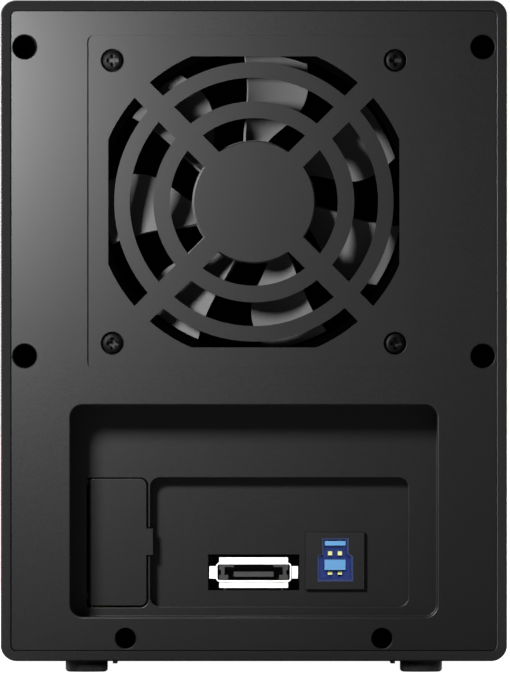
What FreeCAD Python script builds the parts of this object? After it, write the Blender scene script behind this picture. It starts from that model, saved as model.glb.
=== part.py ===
"""Four-bay desktop drive enclosure with a rear fan, a recessed port panel and a front door.

Millimetres. +Z is up, the front door faces -Y, the fan and the ports face +Y. The origin is on the table,
under the centre of the body. Each function below makes one node, and a node of repeated pieces is a group
of separate solids.
"""
import FreeCAD
import Part
import math
import os

V = FreeCAD.Vector

# ---------------------------------------------------------------- overall sizes
width = 128.0
depth = 215.0
sleeve_height = 167.0
foot_height = 3.0

# ---------------------------------------------------------------- sleeve, an aluminium extrusion
sleeve_wall = 2.6
sleeve_corner = 4.0
sleeve_edge_round = 0.45
sleeve_mouth_round = 0.25
belly_rib_x = 35.1
belly_rib_width = 1.1
belly_rib_height = 0.6
belly_rib_inset = 6.0

half_width = width / 2
front_y = -depth / 2
rear_y = depth / 2
base_z = foot_height
top_z = foot_height + sleeve_height
inside_x = half_width - sleeve_wall
inside_low = base_z + sleeve_wall
inside_high = top_z - sleeve_wall

# ---------------------------------------------------------------- rear panel, a plastic moulding
panel_inset = 0.6
panel_gap = 0.12
panel_sheet = 2.0
panel_corner = 1.2
panel_edge_round = 0.12
mouth_round = 0.4
bay_round = 0.22
grille_hub_round = 0.25
hole_flare = 0.2
skirt_depth = 8.0
skirt_wall = 2.0

panel_y = rear_y - panel_inset
panel_back = panel_y - panel_sheet
panel_x = inside_x - panel_gap
panel_low = inside_low + panel_gap
panel_high = inside_high - panel_gap

# ---------------------------------------------------------------- fan and its grille
fan_size = 80.0
fan_thickness = 25.0
fan_hole_spacing = 71.5
fan_drop = 50.95  # from the sleeve's top to the fan's axis
field_margin = 2.1  # the shallow square field reaches this far past the fan
field_depth = 0.6
field_corner = 1.6
pad_thickness = 1.8
grille_thickness = 2.0
grille_hub = 15.4
grille_rings = ((21.2, 25.4), (31.4, 35.3))
spoke_width = 5.4
grille_opening = 36.8
grille_opening_radius = 40.05
fan_counterbore = 2.8
fan_counterbore_depth = 2.3

fan_z = top_z - fan_drop
field_y = panel_y - field_depth
fan_rear = panel_back - pad_thickness
fan_front = fan_rear - fan_thickness
fan_hole = fan_hole_spacing / 2

# ---------------------------------------------------------------- fan's own parts
hub_radius = 15.6
hub_wall = 1.2
hub_roof = 1.6
hub_setback = 1.5
hub_front_gap = 6.0
duct_radius = 38.3
fan_corner = 3.0
fan_bolt_clearance = 2.15
blade_count = 7
blade_tip = 37.4
blade_thickness = 1.0
blade_camber = 1.3
# For each radius: the angles of the deep and the near edge in degrees, and their depths in the duct.
blade_sections = (
    (14.6, 79.0, 99.0, 6.2, 2.6),
    (21.0, 66.8, 95.2, 7.0, 1.9),
    (26.0, 63.2, 93.4, 6.4, 1.6),
    (31.0, 64.8, 93.0, 6.0, 1.4),
    (38.5, 70.4, 94.2, 5.6, 1.3),
)
motor_base_radius = 15.4
motor_base_thickness = 2.5
strut_width = 3.0
strut_turn = 20.0
strut_pad = 0.6  # flat pad on the duct's wall that a strut ends on
bearing_outer = 2.7
bearing_tube_outer = 4.2
shaft_radius = 1.5
magnet_wall = 1.6
push_fit = 0.02  # radial clearance of pieces pressed or glued together

hub_rear = fan_rear - hub_setback
hub_front = fan_front + hub_front_gap
tube_end = hub_rear - 5.6

# ---------------------------------------------------------------- port recess in the rear panel
recess_half = 46.36
recess_bottom = 11.13  # above the sleeve's underside
recess_height = 53.57
recess_depth = 12.5
recess_corner = 3.1
recess_wall = 2.0
recess_floor = 2.4
port_bay_left = -39.1
port_bay_right = 26.2
port_bay_bottom = 13.63
port_bay_height = 32.62
port_bay_depth = 3.5
port_bay_corner = 2.4
port_bay_floor = 2.0

recess_low = base_z + recess_bottom
recess_high = recess_low + recess_height
recess_y = panel_y - recess_depth
port_bay_low = base_z + port_bay_bottom
port_bay_high = port_bay_low + port_bay_height
port_bay_y = recess_y - port_bay_depth

# ---------------------------------------------------------------- hinged cover over the power inlet
cover_rib = 0.55
cover_gap = 0.4
cover_top_gap = 0.2
cover_width = 14.74
cover_bottom = 13.8
cover_height = 32.2
cover_thickness = 2.0
cover_corner = 1.65
cover_hinge_corner = 0.6
cover_edge_round = 0.18
cover_tab_reach = 1.56
cover_tab_bottom = 12.9  # above the cover's lower edge
cover_tab_height = 6.7
cover_tab_thickness = 0.9
cover_pin = 0.6
cover_pin_length = 1.2
pin_play = 0.05  # radial clearance of every hinge pin and shaft

cover_left = port_bay_right + cover_rib + cover_gap
cover_right = cover_left + cover_width
cover_low = base_z + cover_bottom
cover_high = cover_low + cover_height
cover_axis_x = cover_right - cover_thickness / 2
cover_axis_y = recess_y - cover_thickness / 2
cover_tab_low = cover_low + cover_tab_bottom
cover_tab_high = cover_tab_low + cover_tab_height

# ---------------------------------------------------------------- case screws in deep round wells
well_radius = 3.05
well_small_radius = 2.6
well_wall = 1.5
well_depth = 13.0
well_seat = 2.0
side_well_inset = 6.1  # from the sleeve's outer side
side_well_heights = (77.1, 155.2)  # above the sleeve's underside
low_well_x = 32.4
low_well_height = 5.7
case_screw_shank = 1.5
case_screw_head = 2.3
case_screw_head_height = 1.8

well_bottom_y = panel_y - well_depth
frame_rear = well_bottom_y - well_seat
side_well_x = half_width - side_well_inset

# ---------------------------------------------------------------- drive bays and sheet-steel cage
bay_count = 4
bay_pitch = 29.0
bay_width = 102.6
sheet = 1.0
rail_width = 3.0
rail_height = 1.6
rail_length = 150.0
cage_front_gap = 0.5
backplane_distance = 160.5  # from the front of the cage to the backplane
board_thickness = 1.6
rear_frame_sheet = 1.5
window_play = 1.0
slot_play = 0.1
tab_length = 12.0
tab_spacing = 60.0
first_tab = 14.0
rail_strip = 0.4
rail_strip_height = 5.0
rail_stud = 1.25
rail_stud_rise = 3.0
rail_stud_inset = 18.0
riser_left = -34.0
riser_right = 14.0
socket_width = 40.0
socket_depth = 8.0
socket_height = 5.2
socket_rise = 9.0  # above the rail's ledge
socket_slot_depth = 5.5
socket_offset = -6.0  # from the middle of the bay
side_vent_inset = 7.2
side_vent_width = 11.6
side_vent_height = 18.0
low_vent_width = 19.0
low_vent_height = 10.0
low_vent_inset = 29.0
low_vent_rise = 6.5  # from a socket's underside
vent_gap = 3.0

# ---------------------------------------------------------------- front bezel and door
bezel_depth = 12.0
bezel_plate = 2.5
bezel_bar = 4.0
bezel_edge_round = 0.8
spigot_depth = 6.0
spigot_wall = 1.8
door_thickness = 9.0
door_gap = 0.4
door_back_gap = 0.5
door_window_side = 12.0
door_window_end = 12.0
door_corner = 3.0
door_edge_round = 0.8
hinge_pin = 1.5
hinge_pin_depth = 7.0
hinge_pin_anchor = 3.0
mesh_sheet = 1.0
mesh_setback = 1.6
mesh_overlap = 2.0
mesh_hole = 6.0  # across the flats
mesh_pitch = 7.4
grip_radius = 14.0
grip_reach = 5.5
grip_depth = 6.0
grip_lip = 3.5
grip_wall = 1.5
magnet_radius = 3.0
magnet_thickness = 2.0

sleeve_front = front_y + bezel_depth
spigot_x = panel_x
plate_front = sleeve_front - bezel_plate
door_back = plate_front - door_back_gap
door_front = door_back - door_thickness
door_axis_y = (door_front + door_back) / 2
door_axis_x = -half_width + door_thickness / 2
cage_left = -spigot_x + spigot_wall + panel_gap
bay_left = cage_left + sheet
bay_right = bay_left + bay_width
cage_right = bay_right + sheet
cage_top = panel_high - spigot_wall - panel_gap
bay_top = cage_top - sheet
bay_floor = bay_top - bay_count * bay_pitch
cage_front = sleeve_front + cage_front_gap
backplane_y = cage_front + backplane_distance
frame_front = frame_rear - rear_frame_sheet
column_left = cage_right + 0.6
door_right = column_left - door_gap
door_low = base_z + bezel_bar + door_gap
door_high = top_z - bezel_bar - door_gap

# ---------------------------------------------------------------- control column
column_setback = 1.0
column_wall = 2.5
column_side = 2.0
inlay_thickness = 0.8
inlay_width = 11.4
inlay_end_margin = 5.0
inlay_corner = 2.0
button_travel = 1.0
button_play = 0.15
button_rise = 0.8
button_flange = 0.7
button_flange_height = 1.0
power_button_radius = 4.4
small_button_radius = 3.4
power_button_height = 12.5  # heights above the sleeve's underside
fan_button_height = 24.5
mode_button_height = 37.5
lamp_row_offset = 6.5
lamp_radius = 0.75
lamp_spacing = 3.4
drive_lamp_width = 7.0
drive_lamp_height = 2.0
front_board_offset = 17.5  # from the column's face to the board
switch_body = 6.0
switch_height = 2.4
plunger_height = 1.2
plunger_radius = 1.4
switch_gap = 0.1

column_y = front_y + column_setback
column_x = (column_left + column_side + spigot_x - spigot_wall) / 2
inlay_back = column_y + inlay_thickness
column_wall_back = column_y + column_wall
front_board_y = column_y + front_board_offset
power_button_z = base_z + power_button_height
fan_button_z = base_z + fan_button_height
mode_button_z = base_z + mode_button_height

# ---------------------------------------------------------------- feet
foot_radius = 5.35
foot_x = 42.4
foot_inset_y = 22.5
foot_round = 0.9
foot_well_radius = 3.0
foot_well_depth = 1.6
foot_screw_shank = 1.5
foot_screw_head = 2.6
foot_screw_head_height = 1.2

foot_y = depth / 2 - foot_inset_y

# ---------------------------------------------------------------- sockets, whose sizes are standard
esata_mouth_half = 9.5
esata_mouth_height = 4.7
esata_metal = 0.3
esata_length = 13.0
esata_cut_half = 11.57
esata_cut_half_height = 4.55
usb_half_width = 7.47
usb_body_height = 14.5
usb_body_length = 15.0
usb_proud = 0.9
usb_lower_half = 4.65
usb_upper_half = 3.5
usb_mouth_low = 2.0  # above the body's lower face
usb_mouth_high = 13.23
usb_shoulder_low = 8.45
usb_shoulder_high = 9.16
usb_liner = 0.55
usb_depth = 11.0
inlet_nose = 4.6
inlet_bore = 3.3
inlet_pin = 1.05
inlet_depth = 11.0
inlet_setback = 1.2  # behind the cover

usb_face_y = port_bay_y + usb_proud
inlet_y = recess_y - cover_thickness - inlet_setback

# ---------------------------------------------------------------- electronics
board_top = base_z + 17.0
board_left = -45.0
board_side_gap = 1.5
board_reach = 85.5  # in front of the backplane
board_rear = port_bay_y - port_bay_floor - 0.4
board_front = backplane_y - board_reach
board_right = bay_right - board_side_gap
standoff_inset = 4.0
rear_standoff_inset = 22.0
standoff_radius = 2.6
esata_x = 0.05
esata_z = board_top + 5.25
usb_x = -20.56
usb_low = board_top + 0.9
inlet_x = (cover_left + cover_right) / 2
inlet_z = board_top + 6.0


# ================================================================ helpers
def box(x0, x1, y0, y1, z0, z1):
    """Block between low and high values along each axis."""
    return Part.makeBox(x1 - x0, y1 - y0, z1 - z0, V(x0, y0, z0))


def rod(axis, centre, radius, start, end):
    """Round bar along an axis from start to end; centre holds its other two coordinates."""
    a, b = centre
    origin, direction = {
        "x": (V(start, a, b), V(1, 0, 0)),
        "y": (V(a, start, b), V(0, 1, 0)),
        "z": (V(a, b, start), V(0, 0, 1)),
    }[axis]
    return Part.makeCylinder(radius, end - start, origin, direction)


def ring(axis, centre, outer, inner, start, end):
    """Round tube along an axis."""
    return rod(axis, centre, outer, start, end).cut(rod(axis, centre, inner, start - 1, end + 1))


def rounded_block(x0, x1, y0, y1, z0, z1, radius):
    """Block with its four edges along Y rounded."""
    block = box(x0, x1, y0, y1, z0, z1)
    edges = [e for e in block.Edges if abs(e.tangentAt(e.FirstParameter).y) > 0.9]
    return block.makeFillet(radius, edges)


def prism_y(points, y0, y1):
    """Prism along Y over a polygon of (x, z) points."""
    corners = [V(x, y0, z) for x, z in points]
    return Part.Face(Part.makePolygon(corners + corners[:1])).extrude(V(0, y1 - y0, 0))


def edges_at_y(shape, y):
    """The edges of a shape that lie in the plane of constant y."""
    return [e for e in shape.Edges if abs(e.BoundBox.YMin - y) < 1e-4 and abs(e.BoundBox.YMax - y) < 1e-4]


def edges_within(shape, y, x_half, z_low, z_high):
    """Edges in the plane of constant y that lie inside a centred window."""
    return [
        e for e in edges_at_y(shape, y)
        if abs(e.BoundBox.Center.x) < x_half and z_low < e.BoundBox.ZMin and e.BoundBox.ZMax < z_high
    ]


def flared_bore(centre, radius, start, end, flare):
    """Cutter for a round hole along Y whose mouth, at the end, is chamfered."""
    x, z = centre
    cone = Part.makeCone(radius, radius + 2 * flare, 2 * flare, V(x, end - flare, z), V(0, 1, 0))
    return rod("y", centre, radius, start, end + 1).fuse(cone)


def join(shapes):
    """One solid from overlapping or touching shapes."""
    return shapes[0].fuse(shapes[1:]).removeSplitter()


def place(shape, point, direction):
    """A copy of a shape made along +Z, turned to a direction and moved to a point."""
    copy = shape.copy()
    copy.Placement = FreeCAD.Placement(V(*point), FreeCAD.Rotation(V(0, 0, 1), V(*direction)))
    return copy


def screw(head_radius, head_height, shank_radius, length):
    """Cross-recessed pan-head screw along Z, seated at z = 0 with its head above."""
    head = Part.makeCylinder(head_radius, head_height)
    head = head.makeFillet(head_height * 0.45, [head.Edges[0]])
    arm, slot = head_radius * 0.62, head_radius * 0.2
    cross = join([
        box(-arm, arm, -slot, slot, head_height * 0.4, head_height + 1),
        box(-slot, slot, -arm, arm, head_height * 0.4, head_height + 1),
    ])
    shank = Part.makeCylinder(shank_radius, length, V(0, 0, -length))
    return join([head.cut(cross), shank])


def hex_prism(across_flats, height):
    """Hexagonal prism standing on z = 0."""
    radius = across_flats / math.sqrt(3)
    turns = [k * math.pi / 3 for k in range(7)]
    corners = [V(radius * math.cos(turn), radius * math.sin(turn), 0) for turn in turns]
    return Part.Face(Part.makePolygon(corners)).extrude(V(0, 0, height))


def routed_tube(points, radius):
    """Tube along straight runs joined by tangent arcs, as large as each pair of runs allows."""
    path, start = [], points[0]
    for before, corner, after in zip(points, points[1:], points[2:]):
        back, ahead = (before - corner), (after - corner)
        trim = 0.45 * min(back.Length, ahead.Length)
        entry = corner + back.normalize() * trim
        leave = corner + ahead.normalize() * trim
        half_turn = (math.pi - back.getAngle(ahead)) / 2
        bend = trim / math.tan(half_turn)
        centre = corner + (back + ahead).normalize() * (bend / math.cos(half_turn))
        middle = centre + (corner - centre).normalize() * bend
        path += [Part.makeLine(start, entry), Part.Arc(entry, middle, leave).toShape()]
        start = leave
        print("lead bend radius", round(bend, 1))
    path.append(Part.makeLine(start, points[-1]))
    profile = Part.Wire(Part.makeCircle(radius, points[0], points[1] - points[0]))
    return Part.Wire(path).makePipeShell([profile], True, True)


# ================================================================ case
def case_sleeve():
    outer = rounded_block(-half_width, half_width, sleeve_front, rear_y, base_z, top_z, sleeve_corner)
    ends = edges_at_y(outer, rear_y) + edges_at_y(outer, sleeve_front)
    outer = outer.makeFillet(sleeve_edge_round, ends)
    inner = rounded_block(
        -inside_x, inside_x, sleeve_front - 1, rear_y + 1, inside_low, inside_high,
        sleeve_corner - sleeve_wall,
    )
    ribs = [
        box(
            side * belly_rib_x - belly_rib_width / 2, side * belly_rib_x + belly_rib_width / 2,
            sleeve_front + belly_rib_inset, rear_y - 1.0, base_z - belly_rib_height, base_z + 0.5,
        )
        for side in (-1, 1)
    ]
    holes = [rod("z", spot, foot_screw_shank + 0.2, base_z - 1, inside_low + 1) for spot in foot_spots()]
    tube = outer.cut(inner)
    mouth = edges_within(tube, rear_y, inside_x + 0.1, inside_low - 0.1, inside_high + 0.1)
    tube = tube.makeFillet(sleeve_mouth_round, mouth)
    return join([tube] + ribs).cut(holes)


def foot_spots():
    """Centres of the four feet."""
    return [(x, y) for x in (-foot_x, foot_x) for y in (-foot_y, foot_y)]


def rubber_feet():
    foot = Part.makeCylinder(foot_radius, foot_height)
    lower_rim = [e for e in foot.Edges if e.BoundBox.ZMax < 1e-6]
    foot = foot.makeFillet(foot_round, lower_rim)
    foot = foot.cut(Part.makeCylinder(foot_well_radius, foot_well_depth))
    foot = foot.cut(Part.makeCylinder(foot_screw_shank + 0.1, foot_height))
    return [place(foot, (x, y, 0), (0, 0, 1)) for x, y in foot_spots()]


def foot_screws():
    length = inside_low + sheet - foot_well_depth
    made = screw(foot_screw_head, foot_screw_head_height, foot_screw_shank, length)
    return [place(made, (x, y, foot_well_depth), (0, 0, -1)) for x, y in foot_spots()]


# ================================================================ rear panel
def well_spots():
    """(x, z, well radius) of the six case screws."""
    side = [(s * side_well_x, base_z + h, well_radius) for s in (-1, 1) for h in side_well_heights]
    low = [(s * low_well_x, base_z + low_well_height, well_small_radius) for s in (-1, 1)]
    return side + low


def fan_hole_spots():
    """(x, z) of the four fan screws."""
    return [(sx * fan_hole, fan_z + sz * fan_hole) for sx in (-1, 1) for sz in (-1, 1)]


def fan_field_pocket():
    """Shallow square pocket around the fan."""
    half = fan_size / 2 + field_margin
    return rounded_block(-half, half, field_y, panel_y + 1, fan_z - half, fan_z + half, field_corner)


def fan_opening(y0, y1):
    """The hole behind the grille: a square whose corners are cut by a circle."""
    square = box(
        -grille_opening, grille_opening, y0, y1, fan_z - grille_opening, fan_z + grille_opening
    )
    return square.common(rod("y", (0, fan_z), grille_opening_radius, y0, y1))


def grille_bars(y0, y1):
    """Hub disc, two rings and four diagonal spokes."""
    disc = rod("y", (0, 0), grille_hub, y0, y1)
    rings = [ring("y", (0, 0), outer, inner, y0, y1) for inner, outer in grille_rings]
    reach, half = grille_opening_radius + 1.0, spoke_width / 2
    spokes = [box(-reach, reach, y0, y1, -half, half), box(-half, half, y0, y1, -reach, reach)]
    bars = join([disc] + rings + spokes)
    bars.rotate(V(0, 0, 0), V(0, 1, 0), 45)
    bars.translate(V(0, 0, fan_z))
    return bars


def grille_windows(y0, y1):
    """The gaps between the grille's bars."""
    return fan_opening(y0, y1).cut(grille_bars(y0 - 1, y1 + 1))


def port_cover_opening(y0, y1):
    """Opening for the cover; squarer at the hinge side, where the cover's full height swings out."""
    right, low, high = cover_right + cover_gap, cover_low - cover_gap, cover_high + cover_top_gap
    whole = rounded_block(cover_left - cover_gap, right, y0, y1, low, high, cover_corner + cover_gap)
    hinge_side = rounded_block(
        right - 3 * cover_hinge_corner, right, y0, y1, low, high, cover_hinge_corner
    )
    return whole.fuse(hinge_side).removeSplitter()


def usb_window(gap):
    """(x0, x1, z0, z1) of the USB socket's square face, grown by a gap."""
    half = usb_half_width + gap
    return usb_x - half, usb_x + half, usb_low - gap, usb_low + usb_body_height + gap


def esata_window():
    """(x0, x1, z0, z1) of the eSATA cut-out."""
    half, high = esata_cut_half, esata_cut_half_height
    return esata_x - half, esata_x + half, esata_z - high, esata_z + high


def rear_panel():
    face = rounded_block(-panel_x, panel_x, panel_back, panel_y, panel_low, panel_high, panel_corner)
    face = face.makeFillet(panel_edge_round, edges_at_y(face, panel_y))
    skirt = rounded_block(
        -panel_x, panel_x, panel_back - skirt_depth, panel_back, panel_low, panel_high, panel_corner
    ).cut(box(
        -panel_x + skirt_wall, panel_x - skirt_wall, panel_back - skirt_depth - 1, panel_back + 1,
        panel_low + skirt_wall, panel_high - skirt_wall,
    ))
    pad = box(
        -fan_size / 2, fan_size / 2, fan_rear, panel_back, fan_z - fan_size / 2, fan_z + fan_size / 2
    )
    outline = rounded_block(
        -panel_x, panel_x, frame_rear, panel_back, panel_low, panel_high, panel_corner
    )
    wells = [
        rod("y", (x, z), radius + well_wall, frame_rear, panel_back).common(outline)
        for x, z, radius in well_spots()
    ]
    recess_box = rounded_block(
        -recess_half - recess_wall, recess_half + recess_wall, recess_y - recess_floor, panel_back,
        recess_low - recess_wall, recess_high + recess_wall, recess_corner + recess_wall,
    )
    port_box = box(
        port_bay_left - recess_wall, port_bay_right + cover_rib,
        port_bay_y - port_bay_floor, recess_y, port_bay_low - recess_wall, port_bay_high + recess_wall,
    )
    body = join([face, skirt, pad, recess_box, port_box] + wells)

    recess = rounded_block(
        -recess_half, recess_half, recess_y, panel_y + 1, recess_low, recess_high, recess_corner
    )
    port_bay = rounded_block(
        port_bay_left, port_bay_right, port_bay_y, recess_y + 1, port_bay_low, port_bay_high,
        port_bay_corner,
    )
    tab_notch = box(
        port_bay_right - 0.5, port_bay_right + cover_rib + 0.5, recess_y - cover_tab_thickness - 0.2,
        recess_y + 1, cover_tab_low - cover_gap, cover_tab_high + cover_gap,
    )
    cover_pins = rod(
        "z", (cover_axis_x, cover_axis_y), cover_pin + pin_play,
        cover_low - cover_pin_length - 0.3, cover_high + cover_pin_length + 0.3,
    )
    x0, x1, z0, z1 = usb_window(0.1)
    usb_hole = box(x0, x1, port_bay_y - 5, port_bay_y + 1, z0, z1)
    x0, x1, z0, z1 = esata_window()
    esata_hole = box(x0, x1, port_bay_y - 5, port_bay_y + 1, z0, z1)
    cover_opening = port_cover_opening(recess_y - recess_floor - 1, recess_y + 1)
    grille_back = field_y - grille_thickness
    duct = fan_opening(fan_rear - 1, grille_back)
    body = body.cut([recess, port_bay, cover_opening, fan_field_pocket(), duct])
    body = body.cut(grille_windows(grille_back - 0.5, panel_y + 1))
    for y, radius in ((panel_y, mouth_round), (recess_y, bay_round)):
        mouths = edges_within(body, y, recess_half + 0.1, recess_low - 0.1, recess_high + 0.1)
        body = body.makeFillet(radius, mouths)
    reach = grille_hub + 0.1
    body = body.makeFillet(grille_hub_round, edges_within(body, field_y, reach, fan_z - reach, fan_z + reach))

    cuts = [tab_notch, cover_pins, usb_hole, esata_hole]
    for x, z, radius in well_spots():
        cuts.append(flared_bore((x, z), radius, well_bottom_y, panel_y, hole_flare))
        cuts.append(rod("y", (x, z), case_screw_shank + 0.2, frame_rear - 1, well_bottom_y + 1))
    seat_y = field_y - fan_counterbore_depth
    for spot in fan_hole_spots():
        cuts.append(flared_bore(spot, fan_counterbore, seat_y, field_y, hole_flare))
        cuts.append(rod("y", spot, case_screw_shank + 0.2, fan_rear - 1, seat_y + 1))
    return join([body.cut(cuts), cover_stop()])


def cover_stop():
    """Ledge behind the cover's free edge, where it closes."""
    ledge_y = cover_axis_y - cover_thickness / 2 - 0.3
    return box(
        port_bay_right, cover_left + 1.2, ledge_y - 1.0, ledge_y, cover_low, cover_low + cover_height,
    )


def port_cover():
    """Plate with a finger tab on its free edge and a round hinge edge with two pin stubs."""
    y0 = recess_y - cover_thickness
    plate = rounded_block(cover_left, cover_right, y0, recess_y, cover_low, cover_high, cover_corner)
    plate = plate.makeFillet(cover_edge_round, edges_at_y(plate, recess_y))
    round_edge = rod("z", (cover_axis_x, cover_axis_y), cover_thickness / 2, cover_low, cover_high)
    beyond_axis = box(cover_axis_x, cover_right + 1, y0 - 1, recess_y + 1, cover_low - 1, cover_high + 1)
    trimmed = plate.cut(beyond_axis)
    hinge_edge = round_edge.common(plate)
    tab = box(
        cover_left - cover_tab_reach, cover_left + 1, recess_y - cover_tab_thickness, recess_y,
        cover_tab_low, cover_tab_high,
    )
    pins = rod(
        "z", (cover_axis_x, cover_axis_y), cover_pin,
        cover_low - cover_pin_length, cover_high + cover_pin_length,
    )
    return join([trimmed, hinge_edge, tab, pins])


def rear_screws():
    made = screw(
        case_screw_head, case_screw_head_height, case_screw_shank, well_seat + rear_frame_sheet + 0.8
    )
    return [place(made, (x, well_bottom_y, z), (0, 1, 0)) for x, z, _ in well_spots()]


def rear_frame():
    """Steel frame behind the rear panel that takes the case screws."""
    plate = box(
        -panel_x + 0.6, panel_x - 0.6, frame_front, frame_rear, inside_low + sheet, panel_high - 0.8
    )
    fan_half = fan_size / 2 + window_play
    y0, y1 = frame_front - 1, frame_rear + 1
    fan_window = box(-fan_half, fan_half, y0, y1, fan_z - fan_half, fan_z + fan_half)
    port_window = box(
        -recess_half - window_play, recess_half + window_play, y0, y1,
        recess_low - 0.6, recess_high + recess_wall,
    )
    holes = [rod("y", (x, z), case_screw_shank + push_fit, y0, y1) for x, z, _ in well_spots()]
    return plate.cut([fan_window, port_window] + holes)


# ================================================================ fan


def blade_section(radius, deep_angle, near_angle, deep, near):
    """Closed, cambered outline of a blade in a plane square to its middle radius."""
    middle = math.radians((deep_angle + near_angle) / 2)
    half = math.radians((near_angle - deep_angle) / 2)
    outward = V(-math.cos(middle), 0, math.sin(middle))
    along = V(math.sin(middle), 0, math.cos(middle))
    span = radius * math.tan(half)
    deep_point = outward * radius - along * span + V(0, fan_rear - deep, fan_z)
    near_point = outward * radius + along * span + V(0, fan_rear - near, fan_z)
    chord = near_point - deep_point
    normal = chord.cross(outward).normalize()
    if normal.y < 0:
        normal = normal * -1
    skin = normal * (blade_thickness / 2)
    crown = (deep_point + near_point) / 2 - normal * blade_camber
    upper = Part.Arc(deep_point + skin, crown + skin, near_point + skin).toShape()
    lower = Part.Arc(near_point - skin, crown - skin, deep_point - skin).toShape()
    return Part.Wire([
        upper, Part.makeLine(near_point + skin, near_point - skin),
        lower, Part.makeLine(deep_point - skin, deep_point + skin),
    ])


def fan_rotor():
    axis = (0, fan_z)
    cup = rod("y", axis, hub_radius, hub_front, hub_rear)
    cup = cup.makeFillet(1.4, edges_at_y(cup, hub_rear))
    cup = cup.cut(rod("y", axis, hub_radius - hub_wall, hub_front - 1, hub_rear - hub_roof))
    boss = rod("y", axis, 3.4, hub_rear - 5.0, hub_rear - 1.0)
    blade = Part.makeLoft([blade_section(*row) for row in blade_sections], True, False)
    blade = blade.common(ring("y", axis, blade_tip, hub_radius - 0.5, fan_front, fan_rear))
    blades = []
    for k in range(blade_count):
        turned = blade.copy()
        turned.rotate(V(0, 0, fan_z), V(0, 1, 0), k * 360 / blade_count)
        blades.append(turned)
    bore = rod("y", axis, shaft_radius + push_fit, hub_front, hub_rear - 1.2)
    return join([cup, boss] + blades).cut(bore)


def rotor_magnet():
    outer = hub_radius - hub_wall - 0.05
    return ring("y", (0, fan_z), outer, outer - magnet_wall, hub_front + 0.5, hub_rear - 4.0)


def fan_shaft():
    return rod("y", (0, fan_z), shaft_radius, fan_front + motor_base_thickness + 0.5, hub_rear - 1.3)


def fan_bearing():
    start = fan_front + motor_base_thickness
    return ring("y", (0, fan_z), bearing_outer, shaft_radius + pin_play, start, tube_end)


def motor_coils():
    """Four wound poles around the bearing tube."""
    y0, y1 = hub_front + 1.5, hub_rear - 6.5
    core = ring("y", (0, fan_z), 5.6, bearing_tube_outer + 0.1, y0, y1)
    poles = []
    for turn in range(0, 360, 90):
        arm = box(-1.6, 1.6, y0, y1, 4.8, 10.8)
        coil = box(-3.0, 3.0, y0 + 1.0, y1 - 1.0, 6.2, 9.6)
        shoe = box(-4.4, 4.4, y0, y1, 10.4, 11.6)
        pole = join([arm, coil, shoe])
        pole.rotate(V(0, 0, 0), V(0, 1, 0), turn)
        pole.translate(V(0, 0, fan_z))
        poles.append(pole)
    return join([core] + poles)


def fan_frame():
    """Square frame with closed corners, a round duct and a hole for each long screw."""
    half = fan_size / 2
    y0, y1 = fan_front - 1, fan_rear + 1
    body = rounded_block(-half, half, fan_front, fan_rear, fan_z - half, fan_z + half, fan_corner)
    body = body.cut(rod("y", (0, fan_z), duct_radius, y0, y1))
    body = join([body] + strut_bars(duct_radius - strut_pad, duct_radius + 1.0))
    return body.cut([rod("y", spot, fan_bolt_clearance, y0, y1) for spot in fan_hole_spots()])


def strut_bars(start, end):
    """Four bars across the duct's mouth, between two distances from its centre."""
    bars = []
    for k in range(4):
        bar = box(start, end, fan_front, fan_front + motor_base_thickness, -strut_width / 2, strut_width / 2)
        bar.rotate(V(0, 0, 0), V(0, 1, 0), strut_turn + 90 * k)
        bar.translate(V(0, 0, fan_z))
        bars.append(bar)
    return bars


def fan_struts():
    """Motor base with its bearing tube, held in the duct's mouth by four struts."""
    base_rear = fan_front + motor_base_thickness
    motor_base = rod("y", (0, fan_z), motor_base_radius, fan_front, base_rear)
    tube = rod("y", (0, fan_z), bearing_tube_outer, fan_front + 1.0, tube_end)
    struts = strut_bars(motor_base_radius - 1.0, duct_radius - strut_pad)
    bore = rod("y", (0, fan_z), bearing_outer + push_fit, base_rear, hub_rear)
    return join([motor_base, tube] + struts).cut(bore)


def fan_screws():
    seat_y = field_y - fan_counterbore_depth
    length = seat_y - fan_front + 3.2
    made = screw(2.45, fan_counterbore_depth - 0.1, case_screw_shank, length)
    return [place(made, (x, seat_y, z), (0, 1, 0)) for x, z in fan_hole_spots()]


def fan_nuts():
    nut = hex_prism(5.5, 2.4).cut(Part.makeCylinder(case_screw_shank + push_fit, 2.4))
    return [place(nut, (x, fan_front, z), (0, -1, 0)) for x, z in fan_hole_spots()]


def fan_plug_top():
    """Top of the fan's plug, where its lead enters."""
    return V(-30.0, fan_front - 4.6, board_top + 9.0)


def fan_lead():
    top = fan_plug_top()
    start = V(top.x - 4.0, fan_front + 2.0, fan_z - fan_size / 2)
    return routed_tube(
        [start, start - V(0, 0, 16), top + V(0, 0, 15), top], 1.1
    )


def fan_plug():
    top = fan_plug_top()
    return box(top.x - 3.8, top.x + 3.8, top.y - 2.2, top.y + 2.2, board_top + 3.0, top.z)


def fan_header():
    top = fan_plug_top()
    x0, x1, y0, y1 = top.x - 4.9, top.x + 4.9, top.y - 3.2, top.y + 3.2
    shell = box(x0, x1, y0, y1, board_top, board_top + 6.0)
    return shell.cut(box(x0 + 1, x1 - 1, y0 + 0.9, y1 - 0.9, board_top + 3.0, board_top + 7.0))


# ================================================================ cage and chassis
def chassis_floor():
    half = inside_x - (sleeve_corner - sleeve_wall) - panel_gap
    plate = box(-half, half, cage_front + spigot_depth, frame_front, inside_low, inside_low + sheet)
    hole = foot_screw_shank + push_fit
    return plate.cut([rod("z", spot, hole, inside_low - 1, inside_low + 2) for spot in foot_spots()])



def tab_starts():
    """Y of the front end of each tab that locks the cage's plates together."""
    return [cage_front + first_tab + k * tab_spacing for k in range(3)]


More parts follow.
